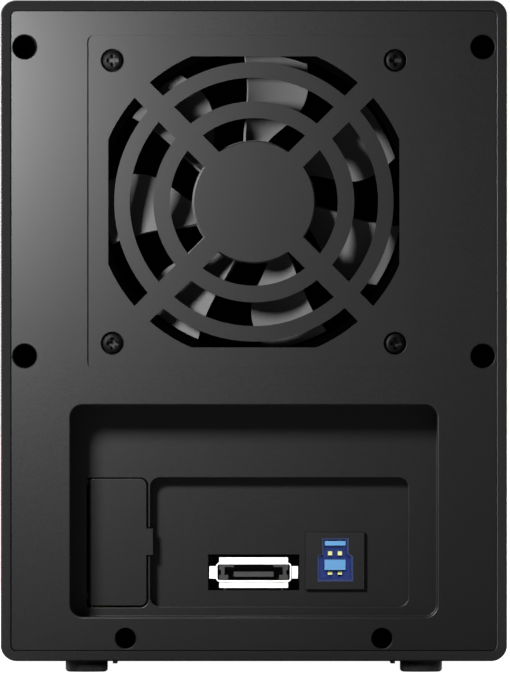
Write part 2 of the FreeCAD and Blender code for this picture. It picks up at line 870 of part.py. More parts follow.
def cage_wall(x0):
    """Flat side wall with tabs into the top plate, slots for the floor plate and holes for rail studs."""
    wall = box(x0, x0 + sheet, cage_front, frame_front, inside_low + sheet, bay_top)
    tabs = [box(x0, x0 + sheet, y, y + tab_length, bay_top - 1, cage_top) for y in tab_starts()]
    wall = join([wall] + tabs)
    corner = box(
        x0 - 1, x0 + sheet + 1, cage_front - 1, cage_front + spigot_depth,
        inside_low, panel_low + spigot_wall + panel_gap,
    )
    slots = [
        box(
            x0 - 1, x0 + sheet + 1, y - slot_play, y + tab_length + slot_play,
            bay_floor - sheet - slot_play, bay_floor + slot_play,
        )
        for y in tab_starts()
    ]
    studs = [
        rod("x", (y, z), rail_stud + slot_play, x0 - 1, x0 + sheet + 1)
        for y in rail_stud_ys() for z in rail_stud_zs()
    ]
    clearances = [
        rod("y", (x, z), case_screw_shank + 0.5, frame_front - 3, frame_rear) for x, z, _ in well_spots()
    ]
    return wall.cut([corner] + slots + studs + clearances)


def cage_left_wall():
    return cage_wall(cage_left)


def cage_right_wall():
    return cage_wall(bay_right)


def cage_top_plate():
    plate = box(cage_left, cage_right, cage_front, backplane_y + 12.0, bay_top, cage_top)
    slots = [
        box(
            x - slot_play, x + sheet + slot_play, y - slot_play, y + tab_length + slot_play,
            bay_top - 1, cage_top + 1,
        )
        for x in (cage_left, bay_right) for y in tab_starts()
    ]
    return plate.cut(slots)


def cage_floor_plate():
    plate = box(bay_left, bay_right, cage_front, backplane_y + 4.0, bay_floor - sheet, bay_floor)
    tabs = [
        box(cage_left, cage_right, y, y + tab_length, bay_floor - sheet, bay_floor) for y in tab_starts()
    ]
    riser = box(
        riser_left - 0.5, riser_right + 0.5, backplane_y - 0.4, backplane_y + board_thickness + 0.4,
        bay_floor - 2, bay_floor + 1,
    )
    return join([plate] + tabs).cut(riser)


def rail_stud_ys():
    first = cage_front + 2.0 + rail_stud_inset
    return [first, first + rail_length - 2 * rail_stud_inset]


def rail_stud_zs():
    """Heights of the studs that hold each rail, one per bay."""
    return [bay_floor + k * bay_pitch + rail_stud_rise for k in range(bay_count)]


def bay_rail(k, wall_x, inward):
    """L-shaped plastic rail of one bay: a ledge and a back strip whose two studs pass through the wall."""
    z = bay_floor + k * bay_pitch
    y0 = cage_front + 2.0
    ledge = box(
        min(wall_x, wall_x + inward * rail_width), max(wall_x, wall_x + inward * rail_width),
        y0, y0 + rail_length, z, z + rail_height,
    )
    strip_far = wall_x + inward * rail_strip
    strip = box(
        min(wall_x, strip_far), max(wall_x, strip_far), y0, y0 + rail_length, z, z + rail_strip_height
    )
    outer = wall_x - inward * sheet
    studs = [
        rod("x", (y, z + rail_stud_rise), rail_stud, min(outer, strip_far), max(outer, strip_far))
        for y in rail_stud_ys()
    ]
    return join([ledge, strip] + studs)


def bay_rails_left():
    return [bay_rail(k, bay_left, 1) for k in range(bay_count)]


def bay_rails_right():
    return [bay_rail(k, bay_right, -1) for k in range(bay_count)]


# ================================================================ backplane
def sata_socket_zs():
    return [bay_floor + k * bay_pitch + rail_height + socket_rise for k in range(bay_count)]


def backplane():
    y1 = backplane_y + board_thickness
    board = box(bay_left + 0.3, bay_right - 0.3, backplane_y, y1, bay_floor + 0.3, bay_top - 0.3)
    riser = box(riser_left, riser_right, backplane_y, y1, board_top + 4.0, bay_floor + 1)
    sockets = sata_socket_zs()
    x = bay_left + side_vent_inset
    vents = [
        box(x, x + side_vent_width, backplane_y - 1, y1 + 1, z, z + side_vent_height) for z in sockets
    ]
    z = sockets[0] + low_vent_rise
    for k in range(3):
        x = bay_left + low_vent_inset + k * (low_vent_width + vent_gap)
        vents.append(box(x, x + low_vent_width, backplane_y - 1, y1 + 1, z, z + low_vent_height))
    return join([board, riser]).cut(vents)


def backplane_clips():
    """Steel angle clips that screw the backplane to the cage walls."""
    clips = []
    for z in (bay_floor + 12.0, bay_top - 18.0):
        for wall_x, inward in ((bay_left, 1), (bay_right, -1)):
            x0, x1 = sorted((wall_x, wall_x + inward * 7.0))
            y0 = backplane_y + board_thickness
            face = box(x0, x1, y0, y0 + 1.0, z, z + 8.0)
            x0, x1 = sorted((wall_x, wall_x + inward * 1.0))
            clips.append(join([face, box(x0, x1, y0, y0 + 7.0, z, z + 8.0)]))
    return clips


def sata_sockets():
    """Twenty-two-way sockets, each with a long power slot and a short data slot."""
    sockets = []
    centre = (bay_left + bay_right) / 2 + socket_offset
    half = socket_width / 2
    y0 = backplane_y - socket_depth
    y1 = y0 + socket_slot_depth
    for z in sata_socket_zs():
        body = box(centre - half, centre + half, y0, backplane_y, z, z + socket_height)
        power = box(centre - 17.0, centre + 5.5, y0 - 1, y1, z + 1.6, z + 3.4)
        data = box(centre + 7.5, centre + 17.0, y0 - 1, y1, z + 1.6, z + 3.4)
        sockets.append(body.cut([power, data]))
    return sockets


# ================================================================ main board
def main_board():
    holes = [rod("z", spot, 1.6, board_top - 3, board_top + 1) for spot in standoff_spots()]
    board = box(board_left, board_right, board_front, board_rear, board_top - board_thickness, board_top)
    return board.cut(holes)


def standoff_spots():
    xs = (board_left + standoff_inset, board_right - standoff_inset)
    ys = (board_front + standoff_inset, board_rear - rear_standoff_inset)
    return [(x, y) for x in xs for y in ys]


def board_standoffs():
    low, high = inside_low + sheet, board_top - board_thickness
    pillar = hex_prism(2 * standoff_radius, high - low).cut(Part.makeCylinder(1.52, high - low))
    return [place(pillar, (x, y, low), (0, 0, 1)) for x, y in standoff_spots()]


def board_screws():
    made = screw(2.6, 1.8, 1.5, 6.0)
    return [place(made, (x, y, board_top), (0, 0, 1)) for x, y in standoff_spots()]


def riser_socket():
    """Slot connector on the main board that takes the backplane's edge."""
    y0, y1 = backplane_y - 2.4, backplane_y + board_thickness + 2.4
    body = box(riser_left - 4, riser_right + 4, y0, y1, board_top, board_top + 9.0)
    return body.cut(box(
        riser_left - 0.2, riser_right + 0.2, backplane_y - 0.05, backplane_y + board_thickness + 0.05,
        board_top + 3.9, board_top + 10,
    ))


def bridge_chip():
    return box(-8, 8, 22, 38, board_top, board_top + 1.4)


def chip_heatsink():
    base = box(-11, 11, 19, 41, board_top + 1.4, board_top + 3.4)
    fins = [box(-11 + k * 3.0, -10 + k * 3.0, 19, 41, board_top + 3.0, board_top + 11.4) for k in range(8)]
    return join([base] + fins)


def board_capacitors():
    right, left = board_right - 8.9, board_left + 11.0
    rows = (board_front + 50.0, board_front + 38.0, board_front + 26.0)
    spots = [(right, y) for y in rows] + [(left, y) for y in rows[:2]]
    can = Part.makeCylinder(4.0, 11.0)
    can = can.makeFillet(0.6, [e for e in can.Edges if e.BoundBox.ZMin > 10.9])
    return [place(can, (x, y, board_top), (0, 0, 1)) for x, y in spots]


def board_inductors():
    return [rounded_coil(board_right - inset, board_front + 12.0) for inset in (30.9, 16.9)]


def rounded_coil(x, y):
    """Shielded power inductor: a block with its upright corners cut."""
    half, cut_corner = 5.0, 1.2
    points = [
        (-half + cut_corner, -half), (half - cut_corner, -half), (half, -half + cut_corner),
        (half, half - cut_corner), (half - cut_corner, half), (-half + cut_corner, half),
        (-half, half - cut_corner), (-half, -half + cut_corner),
    ]
    corners = [V(x + a, y + b, board_top) for a, b in points]
    return Part.Face(Part.makePolygon(corners + corners[:1])).extrude(V(0, 0, 5.0))


# ================================================================ sockets in the rear panel
def esata_shell():
    """Bright shell with its cross-shaped contact flange and two solder legs."""
    flange_y = port_bay_y - 0.1
    lip_y = flange_y + 0.3
    z0, z1 = esata_z - esata_mouth_height / 2, esata_z + esata_mouth_height / 2
    x0, x1 = esata_x - esata_mouth_half, esata_x + esata_mouth_half
    upright = box(esata_x - 8.7, esata_x + 8.7, flange_y - 0.4, flange_y, esata_z - 3.92, esata_z + 3.76)
    across = box(esata_x - 11.2, esata_x + 11.2, flange_y - 0.4, flange_y, esata_z - 1.55, esata_z + 1.55)
    tube = rounded_block(x0, x1, lip_y - esata_length, lip_y, z0, z1, 0.8)
    legs = [
        box(x, x + 0.6, lip_y - esata_length, lip_y - 5, board_top, z0 + esata_metal / 2)
        for x in (esata_x - 7.6, esata_x + 7.0)
    ]
    hollow = rounded_block(
        x0 + esata_metal, x1 - esata_metal, lip_y - esata_length - 1, lip_y + 1,
        z0 + esata_metal, z1 - esata_metal, 0.5,
    )
    return join([upright, across, tube] + legs).cut(hollow)


def esata_insulator():
    """Black insert: a back block, the contact tongue and a C-shaped guide at each end."""
    x_half = esata_mouth_half - esata_metal - 0.02
    z_half = esata_mouth_height / 2 - esata_metal - 0.02
    y0 = port_bay_y - esata_length + 0.2
    back = rounded_block(
        esata_x - x_half, esata_x + x_half, y0, y0 + 3.0, esata_z - z_half, esata_z + z_half, 0.45
    )
    tongue = box(esata_x - 5.05, esata_x + 5.05, y0 + 2, port_bay_y - 0.9, esata_z - 1.1, esata_z + 0.16)
    outline = (
        (8.75, 1.85), (5.05, 1.85), (5.05, 1.35), (7.4, 1.35), (7.4, -0.65),
        (6.45, -0.65), (6.45, -1.9), (8.75, -1.9), (8.75, -0.65), (8.3, -0.65), (8.3, 0.6), (8.75, 0.6),
    )
    guides = [
        prism_y([(esata_x + side * x, esata_z + z) for x, z in outline], y0 + 2, port_bay_y - 0.05)
        for side in (-1, 1)
    ]
    return join([back, tongue] + guides)


def usb_outline(inset):
    """(x, z) outline of the socket's mouth, wide below and narrower above, taken in by an inset."""
    low, high = usb_low + usb_mouth_low + inset, usb_low + usb_mouth_high - inset
    wide, narrow = usb_lower_half - inset, usb_upper_half - inset
    shoulder_low = usb_low + usb_shoulder_low - inset * 0.4
    shoulder_high = usb_low + usb_shoulder_high - inset * 0.4
    side = [(wide, low), (wide, shoulder_low), (narrow, shoulder_high), (narrow, high)]
    return [(usb_x + x, z) for x, z in side] + [(usb_x - x, z) for x, z in reversed(side)]


def usb_housing():
    x0, x1, z0, z1 = usb_window(0)
    body = box(x0, x1, usb_face_y - usb_body_length, usb_face_y, z0, z1)
    body = body.makeFillet(0.1, edges_at_y(body, usb_face_y))
    base = box(x0, x1, usb_face_y - usb_body_length, board_rear - 0.1, board_top, z0)
    return join([body, base]).cut(prism_y(usb_outline(0), usb_face_y - usb_depth - 1.5, usb_face_y + 1))


def usb_insulator():
    """Blue liner of the socket with a closed back."""
    y0, y1 = usb_face_y - usb_depth - 1.5, usb_face_y - 0.35
    solid = prism_y(usb_outline(0.03), y0, y1)
    return solid.cut(prism_y(usb_outline(usb_liner), y0 + 1.5, y1 + 1))


def usb_tongues():
    """The two contact tongues, an upper thin one and a lower thick one."""
    y0, y1 = usb_face_y - usb_depth, usb_face_y - 0.8
    return [
        box(usb_x - 2.66, usb_x + 2.66, y0, y1, usb_low + low, usb_low + high)
        for low, high in ((11.15, 12.3), (4.95, 7.55))
    ]


def usb_contacts():
    y0, y1 = usb_face_y - usb_depth, usb_face_y - 1.6
    return [
        box(usb_x + x - 0.55, usb_x + x + 0.55, y0, y1, usb_low + low, usb_low + high)
        for x in (-1.25, 1.25) for low, high in ((8.65, 9.65), (3.75, 4.55))
    ]


def power_inlet():
    """Round low-voltage inlet on the board, behind the hinged cover."""
    body = box(inlet_x - 5.2, inlet_x + 5.2, inlet_y - 16.0, inlet_y - 2.0, board_top, inlet_z + 5.2)
    nose = rod("y", (inlet_x, inlet_z), inlet_nose, inlet_y - 3.0, inlet_y)
    bore = rod("y", (inlet_x, inlet_z), inlet_bore, inlet_y - inlet_depth, inlet_y + 1)
    return join([body, nose]).cut(bore)


def power_inlet_pin():
    return rod("y", (inlet_x, inlet_z), inlet_pin, inlet_y - inlet_depth, inlet_y - 1.0)


# ================================================================ front bezel
def control_holes():
    """(x, z, radius) of every round hole in the control column: three buttons and five lamps."""
    buttons = [
        (column_x, power_button_z, power_button_radius + button_play),
        (column_x, fan_button_z, small_button_radius + button_play),
        (column_x, mode_button_z, small_button_radius + button_play),
    ]
    return buttons + [(x, z, lamp_radius + 0.05) for x, z in small_lamps()]


def small_lamps():
    """(x, z) of the three fan-speed lamps and the two link lamps."""
    fan = [(column_x + k * lamp_spacing, fan_button_z + lamp_row_offset) for k in (-1, 0, 1)]
    link = [(column_x + k * lamp_spacing / 2, mode_button_z + lamp_row_offset) for k in (-1, 1)]
    return fan + link


def drive_lamp_zs():
    return [bay_floor + (k + 0.5) * bay_pitch for k in range(bay_count)]


def drive_lamp_box(z, play, y0, y1):
    return box(
        column_x - drive_lamp_width / 2 - play, column_x + drive_lamp_width / 2 + play, y0, y1,
        z - drive_lamp_height / 2 - play, z + drive_lamp_height / 2 + play,
    )


def front_bezel():
    body = rounded_block(-half_width, half_width, front_y, sleeve_front, base_z, top_z, sleeve_corner)
    body = body.makeFillet(bezel_edge_round, edges_at_y(body, front_y))
    spigot = rounded_block(
        -spigot_x, spigot_x, sleeve_front - 1, sleeve_front + spigot_depth, panel_low, panel_high,
        panel_corner,
    ).cut(box(
        -spigot_x + spigot_wall, spigot_x - spigot_wall, sleeve_front - 2, sleeve_front + spigot_depth + 1,
        panel_low + spigot_wall, panel_high - spigot_wall,
    ))
    door_room = box(
        -half_width - 1, column_left, front_y - 1, plate_front, base_z + bezel_bar, top_z - bezel_bar
    )
    column_face = column_face_cut()
    aperture = box(bay_left, bay_right, front_y, sleeve_front + 1, bay_floor, bay_top)
    hollow = box(
        column_left + column_side, spigot_x - spigot_wall, column_wall_back, sleeve_front + spigot_depth,
        panel_low + spigot_wall, panel_high - spigot_wall,
    )
    inlay_pocket = rounded_block(*inlay_rectangle(0.05, column_y - 1, inlay_back))
    inlay_pocket = inlay_pocket.cut(grip_pocket(grip_wall - 0.05, column_y - 2, inlay_back + 1))
    grip = grip_pocket(0, column_y - 1, column_y + grip_depth)
    grip_shell = grip_pocket(grip_wall, column_wall_back - 0.5, column_y + grip_depth + grip_wall)
    pins = [
        rod("z", (door_axis_x, door_axis_y), hinge_pin + pin_play, z0, z1)
        for z0, z1 in (
            (base_z + bezel_bar - hinge_pin_anchor, base_z + bezel_bar + 1),
            (top_z - bezel_bar - 1, top_z - bezel_bar + hinge_pin_anchor),
        )
    ]
    holes = [
        rod("y", (x, z), radius, column_y - 1, column_wall_back + 1) for x, z, radius in control_holes()
    ]
    holes += [drive_lamp_box(z, 0.05, column_y - 1, column_wall_back + 1) for z in drive_lamp_zs()]
    body = body.cut([door_room, column_face])
    body = join([body, spigot]).cut([aperture, hollow, inlay_pocket] + pins + holes)
    body = join([body, grip_shell]).cut(grip)
    magnet_end = plate_front + magnet_thickness
    return body.cut(rod("y", magnet_spot(), magnet_radius + push_fit, plate_front - 1, magnet_end))


def column_face_cut():
    """What is taken off the column's front: everything but a block with a rounded outline."""
    blank = rounded_block(
        column_left - 10, half_width, column_y, sleeve_front, base_z, top_z, sleeve_corner
    )
    blank = blank.makeFillet(bezel_edge_round, edges_at_y(blank, column_y))
    space = box(column_left, half_width + 1, front_y - 1, sleeve_front - 2, base_z - 1, top_z + 1)
    return space.cut(blank)


def grip_pocket(growth, y0, y1):
    """Finger pocket in the column's edge beside the door: a slice of a round bar, grown by a wall."""
    bar = rod("y", (column_left + grip_reach - grip_radius, grip_z()), grip_radius + growth, y0, y1)
    return bar.common(box(column_left, half_width, y0, y1, base_z, top_z))


def grip_undercut():
    """The other half of the pocket, behind the lip of the door's edge."""
    centre = (door_right - grip_reach + grip_radius, grip_z())
    return rod("y", centre, grip_radius, door_front + grip_lip, door_back + 1)


def grip_z():
    """Height of the finger pocket, midway between two drive lamps."""
    lamps = drive_lamp_zs()
    return (lamps[0] + lamps[1]) / 2


def magnet_spot():
    """(x, z) of the door's catch, on the bezel plate's strip below the bays."""
    return column_left - 8.0, (base_z + bezel_bar + bay_floor) / 2


def inlay_rectangle(gap, y0, y1):
    """Arguments of rounded_block for the control inlay, grown by a gap."""
    return (
        column_x - inlay_width / 2 - gap, column_x + inlay_width / 2 + gap, y0, y1,
        base_z + inlay_end_margin - gap, top_z - inlay_end_margin + gap, inlay_corner + gap,
    )


def control_inlay():
    """Glossy strip on the column, with holes for the buttons and lamps."""
    strip = rounded_block(*inlay_rectangle(0, column_y, inlay_back))
    strip = strip.cut(grip_pocket(grip_wall, column_y - 1, inlay_back + 1))
    holes = [rod("y", (x, z), radius, column_y - 1, inlay_back + 1) for x, z, radius in control_holes()]
    holes += [drive_lamp_box(z, 0.05, column_y - 1, inlay_back + 1) for z in drive_lamp_zs()]
    return strip.cut(holes)


def push_button(z, radius):
    """Cap, retaining flange behind the wall, and a stem that reaches for its switch."""
    cap = rod("y", (column_x, z), radius, column_y - button_rise, column_wall_back + 0.3)
    cap = cap.makeFillet(0.4, edges_at_y(cap, column_y - button_rise))
    flange_y = column_wall_back + 0.2
    flange = rod("y", (column_x, z), radius + button_flange, flange_y, flange_y + button_flange_height)
    stem_end = front_board_y - switch_height - plunger_height - button_travel - switch_gap
    stem = rod("y", (column_x, z), plunger_radius, flange_y, stem_end)
    return join([cap, flange, stem])


def power_button():
    return push_button(power_button_z, power_button_radius)


def fan_button():
    return push_button(fan_button_z, small_button_radius)


def mode_button():
    return push_button(mode_button_z, small_button_radius)


def button_switches():
    """Tactile switches on the front board, one behind each button."""
    half = switch_body / 2
    switches = []
    for z in (power_button_z, fan_button_z, mode_button_z):
        y1 = front_board_y
        body = box(column_x - half, column_x + half, y1 - switch_height, y1, z - half, z + half)
        plunger = rod("y", (column_x, z), plunger_radius, y1 - switch_height - plunger_height, y1 - 1)
        switches.append(join([body, plunger]))
    return switches


def front_board():
    return box(
        column_left + column_side + 0.6, spigot_x - spigot_wall - 0.3, front_board_y,
        front_board_y + board_thickness, base_z + 6.0, top_z - 8.0,
    )


def lamp_chips():
    """Light-emitting diodes on the front board, one behind each light pipe."""
    spots = small_lamps() + [(column_x, z) for z in drive_lamp_zs()]
    return [box(x - 0.8, x + 0.8, front_board_y - 0.8, front_board_y, z - 0.6, z + 0.6) for x, z in spots]


def lamp_pipes_small():
    y0, y1 = column_y - 0.1, front_board_y - 1.0
    return [rod("y", spot, lamp_radius, y0, y1) for spot in small_lamps()]


def lamp_pipes_drive():
    return [drive_lamp_box(z, 0, column_y - 0.1, front_board_y - 1.0) for z in drive_lamp_zs()]


def bezel_magnet():
    return rod("y", magnet_spot(), magnet_radius, plate_front, plate_front + magnet_thickness)


# ================================================================ door
def door_window():
    """(x0, x1, z0, z1) of the opening in the door's frame."""
    return (
        door_axis_x + door_window_side, door_right - door_window_side,
        door_low + door_window_end, door_high - door_window_end,
    )


def front_door():
    """Moulded frame with a round hinge edge, hollow behind, around the mesh."""
    slab = box(door_axis_x, door_right, door_front, door_back, door_low, door_high)
    hinge_edge = rod("z", (door_axis_x, door_axis_y), door_thickness / 2, door_low, door_high)
    slab = join([slab, hinge_edge])
    outer = [e for e in edges_at_y(slab, door_front) if e.BoundBox.Center.x > door_axis_x + 1]
    slab = slab.makeFillet(door_edge_round, outer)
    x0, x1, z0, z1 = door_window()
    slab = slab.cut(rounded_block(x0, x1, door_front - 1, door_back + 1, z0, z1, door_corner))
    window_edges = [
        e for e in edges_at_y(slab, door_front) if x0 - 1 < e.BoundBox.XMin and e.BoundBox.XMax < x1 + 1
    ]
    slab = slab.makeFillet(door_edge_round, window_edges)
    hollow = box(
        x0 - mesh_overlap, x1 + mesh_overlap, door_front + mesh_setback, door_back + 1,
        z0 - mesh_overlap, z1 + mesh_overlap,
    )
    spans = ((door_low - 1, door_low + hinge_pin_depth), (door_high - hinge_pin_depth, door_high + 1))
    bores = [rod("z", (door_axis_x, door_axis_y), hinge_pin + push_fit, low, high) for low, high in spans]
    x, z = magnet_spot()
    catch = rod("y", (x, z), magnet_radius + push_fit, door_back - magnet_thickness, door_back + 1)
    return slab.cut([hollow, catch, grip_undercut()] + bores)


def door_mesh():
    """Perforated steel sheet behind the door's window, with hexagonal holes in offset rows."""
    x0, x1, z0, z1 = door_window()
    edge = 0.1
    y0 = door_front + mesh_setback
    left, right = x0 - mesh_overlap + edge, x1 + mesh_overlap - edge
    low, high = z0 - mesh_overlap + edge, z1 + mesh_overlap - edge
    corners = [V(left, y0, low), V(right, y0, low), V(right, y0, high), V(left, y0, high)]
    wires = [Part.makePolygon(corners + corners[:1])]
    radius = mesh_hole / math.sqrt(3)
    row_pitch = mesh_pitch * math.sqrt(3) / 2
    rows = int((z1 - z0 - mesh_hole) / row_pitch) + 1
    columns = int((x1 - x0 - mesh_hole) / mesh_pitch) + 1
    for row in range(rows):
        shift = (row % 2) * mesh_pitch / 2
        count = columns - row % 2
        cx0 = (x0 + x1) / 2 - (columns - 1) * mesh_pitch / 2 + shift
        cz = (z0 + z1) / 2 + (row - (rows - 1) / 2) * row_pitch
        for k in range(count):
            cx = cx0 + k * mesh_pitch
            points = [
                V(cx + radius * math.sin(a * math.pi / 3), y0, cz + radius * math.cos(a * math.pi / 3))
                for a in range(7)
            ]
            wires.append(Part.makePolygon(points))
    return Part.makeFace(wires, "Part::FaceMakerBullseye").extrude(V(0, mesh_sheet, 0))


def door_pins():
    """Steel hinge pins fixed in the door, turning in the bezel's bars."""
    lower = (base_z + bezel_bar - hinge_pin_anchor + 0.2, door_low + hinge_pin_depth)
    upper = (door_high - hinge_pin_depth, top_z - bezel_bar + hinge_pin_anchor - 0.2)
    return [rod("z", (door_axis_x, door_axis_y), hinge_pin, z0, z1) for z0, z1 in (lower, upper)]


def door_magnet():
    return rod("y", magnet_spot(), magnet_radius, door_back - magnet_thickness, door_back)


# ================================================================ export
NODES = (
    case_sleeve, rubber_feet, foot_screws, rear_panel, port_cover, rear_screws, rear_frame,
    fan_frame, fan_struts, fan_rotor, rotor_magnet, fan_shaft, fan_bearing, motor_coils, fan_screws,
    fan_nuts, fan_lead, fan_plug, fan_header, chassis_floor, cage_left_wall, cage_right_wall, cage_top_plate,
    cage_floor_plate, bay_rails_left, bay_rails_right, backplane, backplane_clips, sata_sockets,
    main_board, board_standoffs, board_screws, riser_socket, bridge_chip, chip_heatsink, board_capacitors,
    board_inductors, esata_shell, esata_insulator, usb_housing, usb_insulator, usb_tongues, usb_contacts,
    power_inlet, power_inlet_pin, front_bezel, control_inlay, power_button, fan_button, mode_button,
    button_switches, front_board, lamp_chips, lamp_pipes_small, lamp_pipes_drive, bezel_magnet,
    front_door, door_mesh, door_pins, door_magnet,
)


def main():
    os.makedirs("parts", exist_ok=True)
    for make in NODES:
        shape = make()
        if isinstance(shape, list):
            shape = Part.makeCompound(shape)
        sound = shape.isValid() and all(s.isValid() and s.isClosed() for s in shape.Solids)
        print(f"{make.__name__}: {len(shape.Solids)} solids, {shape.Volume:.0f} mm3, sound {sound}")
        shape.exportStep(f"parts/{make.__name__}.step")


main()
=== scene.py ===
"""Looks, light and camera for a four-bay drive enclosure, seen from behind."""
import math

import bmesh
import bpy
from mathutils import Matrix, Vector

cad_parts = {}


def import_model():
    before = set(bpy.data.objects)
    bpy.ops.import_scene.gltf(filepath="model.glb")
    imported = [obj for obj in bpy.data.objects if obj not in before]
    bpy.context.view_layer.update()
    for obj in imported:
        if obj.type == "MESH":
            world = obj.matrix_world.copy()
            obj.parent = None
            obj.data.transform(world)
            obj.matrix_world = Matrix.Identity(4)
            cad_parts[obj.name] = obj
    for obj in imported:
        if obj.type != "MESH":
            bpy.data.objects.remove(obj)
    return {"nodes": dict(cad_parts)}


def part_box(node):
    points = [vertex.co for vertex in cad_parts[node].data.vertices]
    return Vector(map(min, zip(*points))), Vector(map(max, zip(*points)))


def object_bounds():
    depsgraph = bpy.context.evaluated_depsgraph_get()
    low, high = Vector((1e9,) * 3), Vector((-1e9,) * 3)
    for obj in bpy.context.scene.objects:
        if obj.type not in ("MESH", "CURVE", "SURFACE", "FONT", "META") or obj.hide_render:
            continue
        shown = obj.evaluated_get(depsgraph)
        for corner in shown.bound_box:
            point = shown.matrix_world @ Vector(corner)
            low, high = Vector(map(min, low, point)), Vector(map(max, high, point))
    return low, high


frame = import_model()
nodes = frame["nodes"]
cad_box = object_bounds()

MM = 0.001
QUARTER_TURN = math.radians(90)
HALF_TURN = math.radians(180)
WHITE = (1.0, 1.0, 1.0, 1.0)
panel_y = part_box("rear_panel")[1].y


# ---------------------------------------------------------------- materials
FEW_BELOW = 0.3  # noise seldom goes below this
FEW_ABOVE = 0.7  # nor above this
PLASTIC_TEXTURE = 0.25 * MM
PLASTIC_RELIEF = 0.006 * MM

# Where a Mix node that mixes colours has its sockets.
MIX_AMOUNT = 0
MIX_LOW = 6
MIX_HIGH = 7
MIX_RESULT = 2


class Finish:
    """A material being built. Its textures read the piece's own coordinates, in metres."""

    def __init__(self, name, colour, roughness, metallic=0.0, specular=0.5):
        self.name = name
        self.material = bpy.data.materials.new(name + "_finish")
        self.material.use_nodes = True
        self.tree = self.material.node_tree
        self.shader = self.tree.nodes["Principled BSDF"]
        self.set("Base Color", (*colour, 1.0))
        self.set("Roughness", roughness)
        self.set("Metallic", metallic)
        self.set("Specular IOR Level", specular)
        self.place = self.tree.nodes.new("ShaderNodeTexCoord").outputs["Object"]

    def set(self, socket, value):
        """Gives one of the shader's sockets a constant."""
        self.shader.inputs[socket].default_value = value

    def add(self, kind, **settings):
        """A new node of this kind, with these settings."""
        node = self.tree.nodes.new(kind)
        for key, value in settings.items():
            setattr(node, key, value)
        return node

    def link(self, source, target):
        self.tree.links.new(source, target)

    def stretched(self, stretch=(1, 1, 1), turn=(0, 0, 0)):
        """The piece's coordinates, scaled and turned."""
        mapping = self.add("ShaderNodeMapping")
        mapping.inputs["Scale"].default_value = stretch
        mapping.inputs["Rotation"].default_value = turn
        self.link(self.place, mapping.inputs["Vector"])
        return mapping.outputs["Vector"]

    def along(self, axis):
        """The piece's own coordinate along an axis, in metres."""
        parts = self.add("ShaderNodeSeparateXYZ")
        self.link(self.place, parts.inputs[0])
        return parts.outputs[axis]

    def noise(self, size, detail, stretch=(1, 1, 1), distortion=0.0):
        """Noise whose features are about the given size in metres; 0 to 1."""
        node = self.add("ShaderNodeTexNoise")
        node.inputs["Scale"].default_value = 1.0 / size
        node.inputs["Detail"].default_value = detail
        node.inputs["Distortion"].default_value = distortion
        self.link(self.stretched(stretch), node.inputs["Vector"])
        return node.outputs["Fac"]

    def cells(self, size):
        """Distance from the middle of the nearest cell, for cells of about the given size in metres."""
        node = self.add("ShaderNodeTexVoronoi", feature="F1")
        node.inputs["Scale"].default_value = 1.0 / size
        self.link(self.place, node.inputs["Vector"])
        return node.outputs["Distance"]

    def span(self, value, low=FEW_BELOW, high=FEW_ABOVE, to_low=0.0, to_high=1.0):
        """Maps a value's range onto another, clamped."""
        node = self.add("ShaderNodeMapRange")
        node.inputs["From Min"].default_value = low
        node.inputs["From Max"].default_value = high
        node.inputs["To Min"].default_value = to_low
        node.inputs["To Max"].default_value = to_high
        self.link(value, node.inputs["Value"])
        return node.outputs["Result"]

    def around(self, cloud, middle, less, more):
        """A number that wanders with a cloud, from a little less than its middle to a little more."""
        return self.span(cloud, to_low=middle - less, to_high=middle + more)

    def maths(self, operation, a, b=0.0):
        """The result of a Math node, for values that are given or made by nodes."""
        node = self.add("ShaderNodeMath", operation=operation)
        for socket, value in zip(node.inputs, (a, b)):
            if isinstance(value, (int, float)):
                socket.default_value = value
            else:
                self.link(value, socket)
        return node.outputs["Value"]

    def blend(self, amount, low, high):
        """Mixes two colours, each given or made by nodes."""
        node = self.add("ShaderNodeMix", data_type="RGBA")
        for socket, value in ((node.inputs[MIX_LOW], low), (node.inputs[MIX_HIGH], high)):
            if isinstance(value, tuple):
                socket.default_value = (*value, 1.0)
            else:
                self.link(value, socket)
        self.link(amount, node.inputs[MIX_AMOUNT])
        return node.outputs[MIX_RESULT]

    def mottled(self, cloud, colour, darkest, lightest, low=FEW_BELOW, high=FEW_ABOVE):
        """The colour times a factor that wanders with a cloud."""
        return self.blend(self.span(cloud, low, high), tinted(colour, darkest), tinted(colour, lightest))

    def flow_marks(self, colour):
        """The colour with the long, faint streaks of moulded plastic."""
        streaks = self.noise(22 * MM, detail=3, stretch=(1, 1, 0.25))
        return self.mottled(streaks, colour, darkest=0.88, lightest=1.12)

    def paint(self, colour):
        self.link(colour, self.shader.inputs["Base Color"])

    def roughen(self, value):
        self.link(value, self.shader.inputs["Roughness"])

    def bump(self, height, depth):
        """Adds relief of the given depth in metres."""
        node = self.add("ShaderNodeBump")
        node.inputs["Strength"].default_value = 1.0
        node.inputs["Distance"].default_value = depth
        self.link(height, node.inputs["Height"])
        self.link(node.outputs["Normal"], self.shader.inputs["Normal"])


def tinted(colour, factor):
    """The colour times a factor, at most white."""
    return tuple(min(1.0, channel * factor) for channel in colour)


def moulded(name, colour, roughness, texture=PLASTIC_TEXTURE, specular=0.5):
    """Moulded plastic with a spark-eroded texture and faint flow marks."""
    f = Finish(name, colour, roughness, specular=specular)
    f.paint(f.flow_marks(colour))
    grain = f.noise(texture, detail=2)
    f.roughen(f.around(grain, roughness, less=0.04, more=0.05))
    f.bump(grain, PLASTIC_RELIEF)
    return f


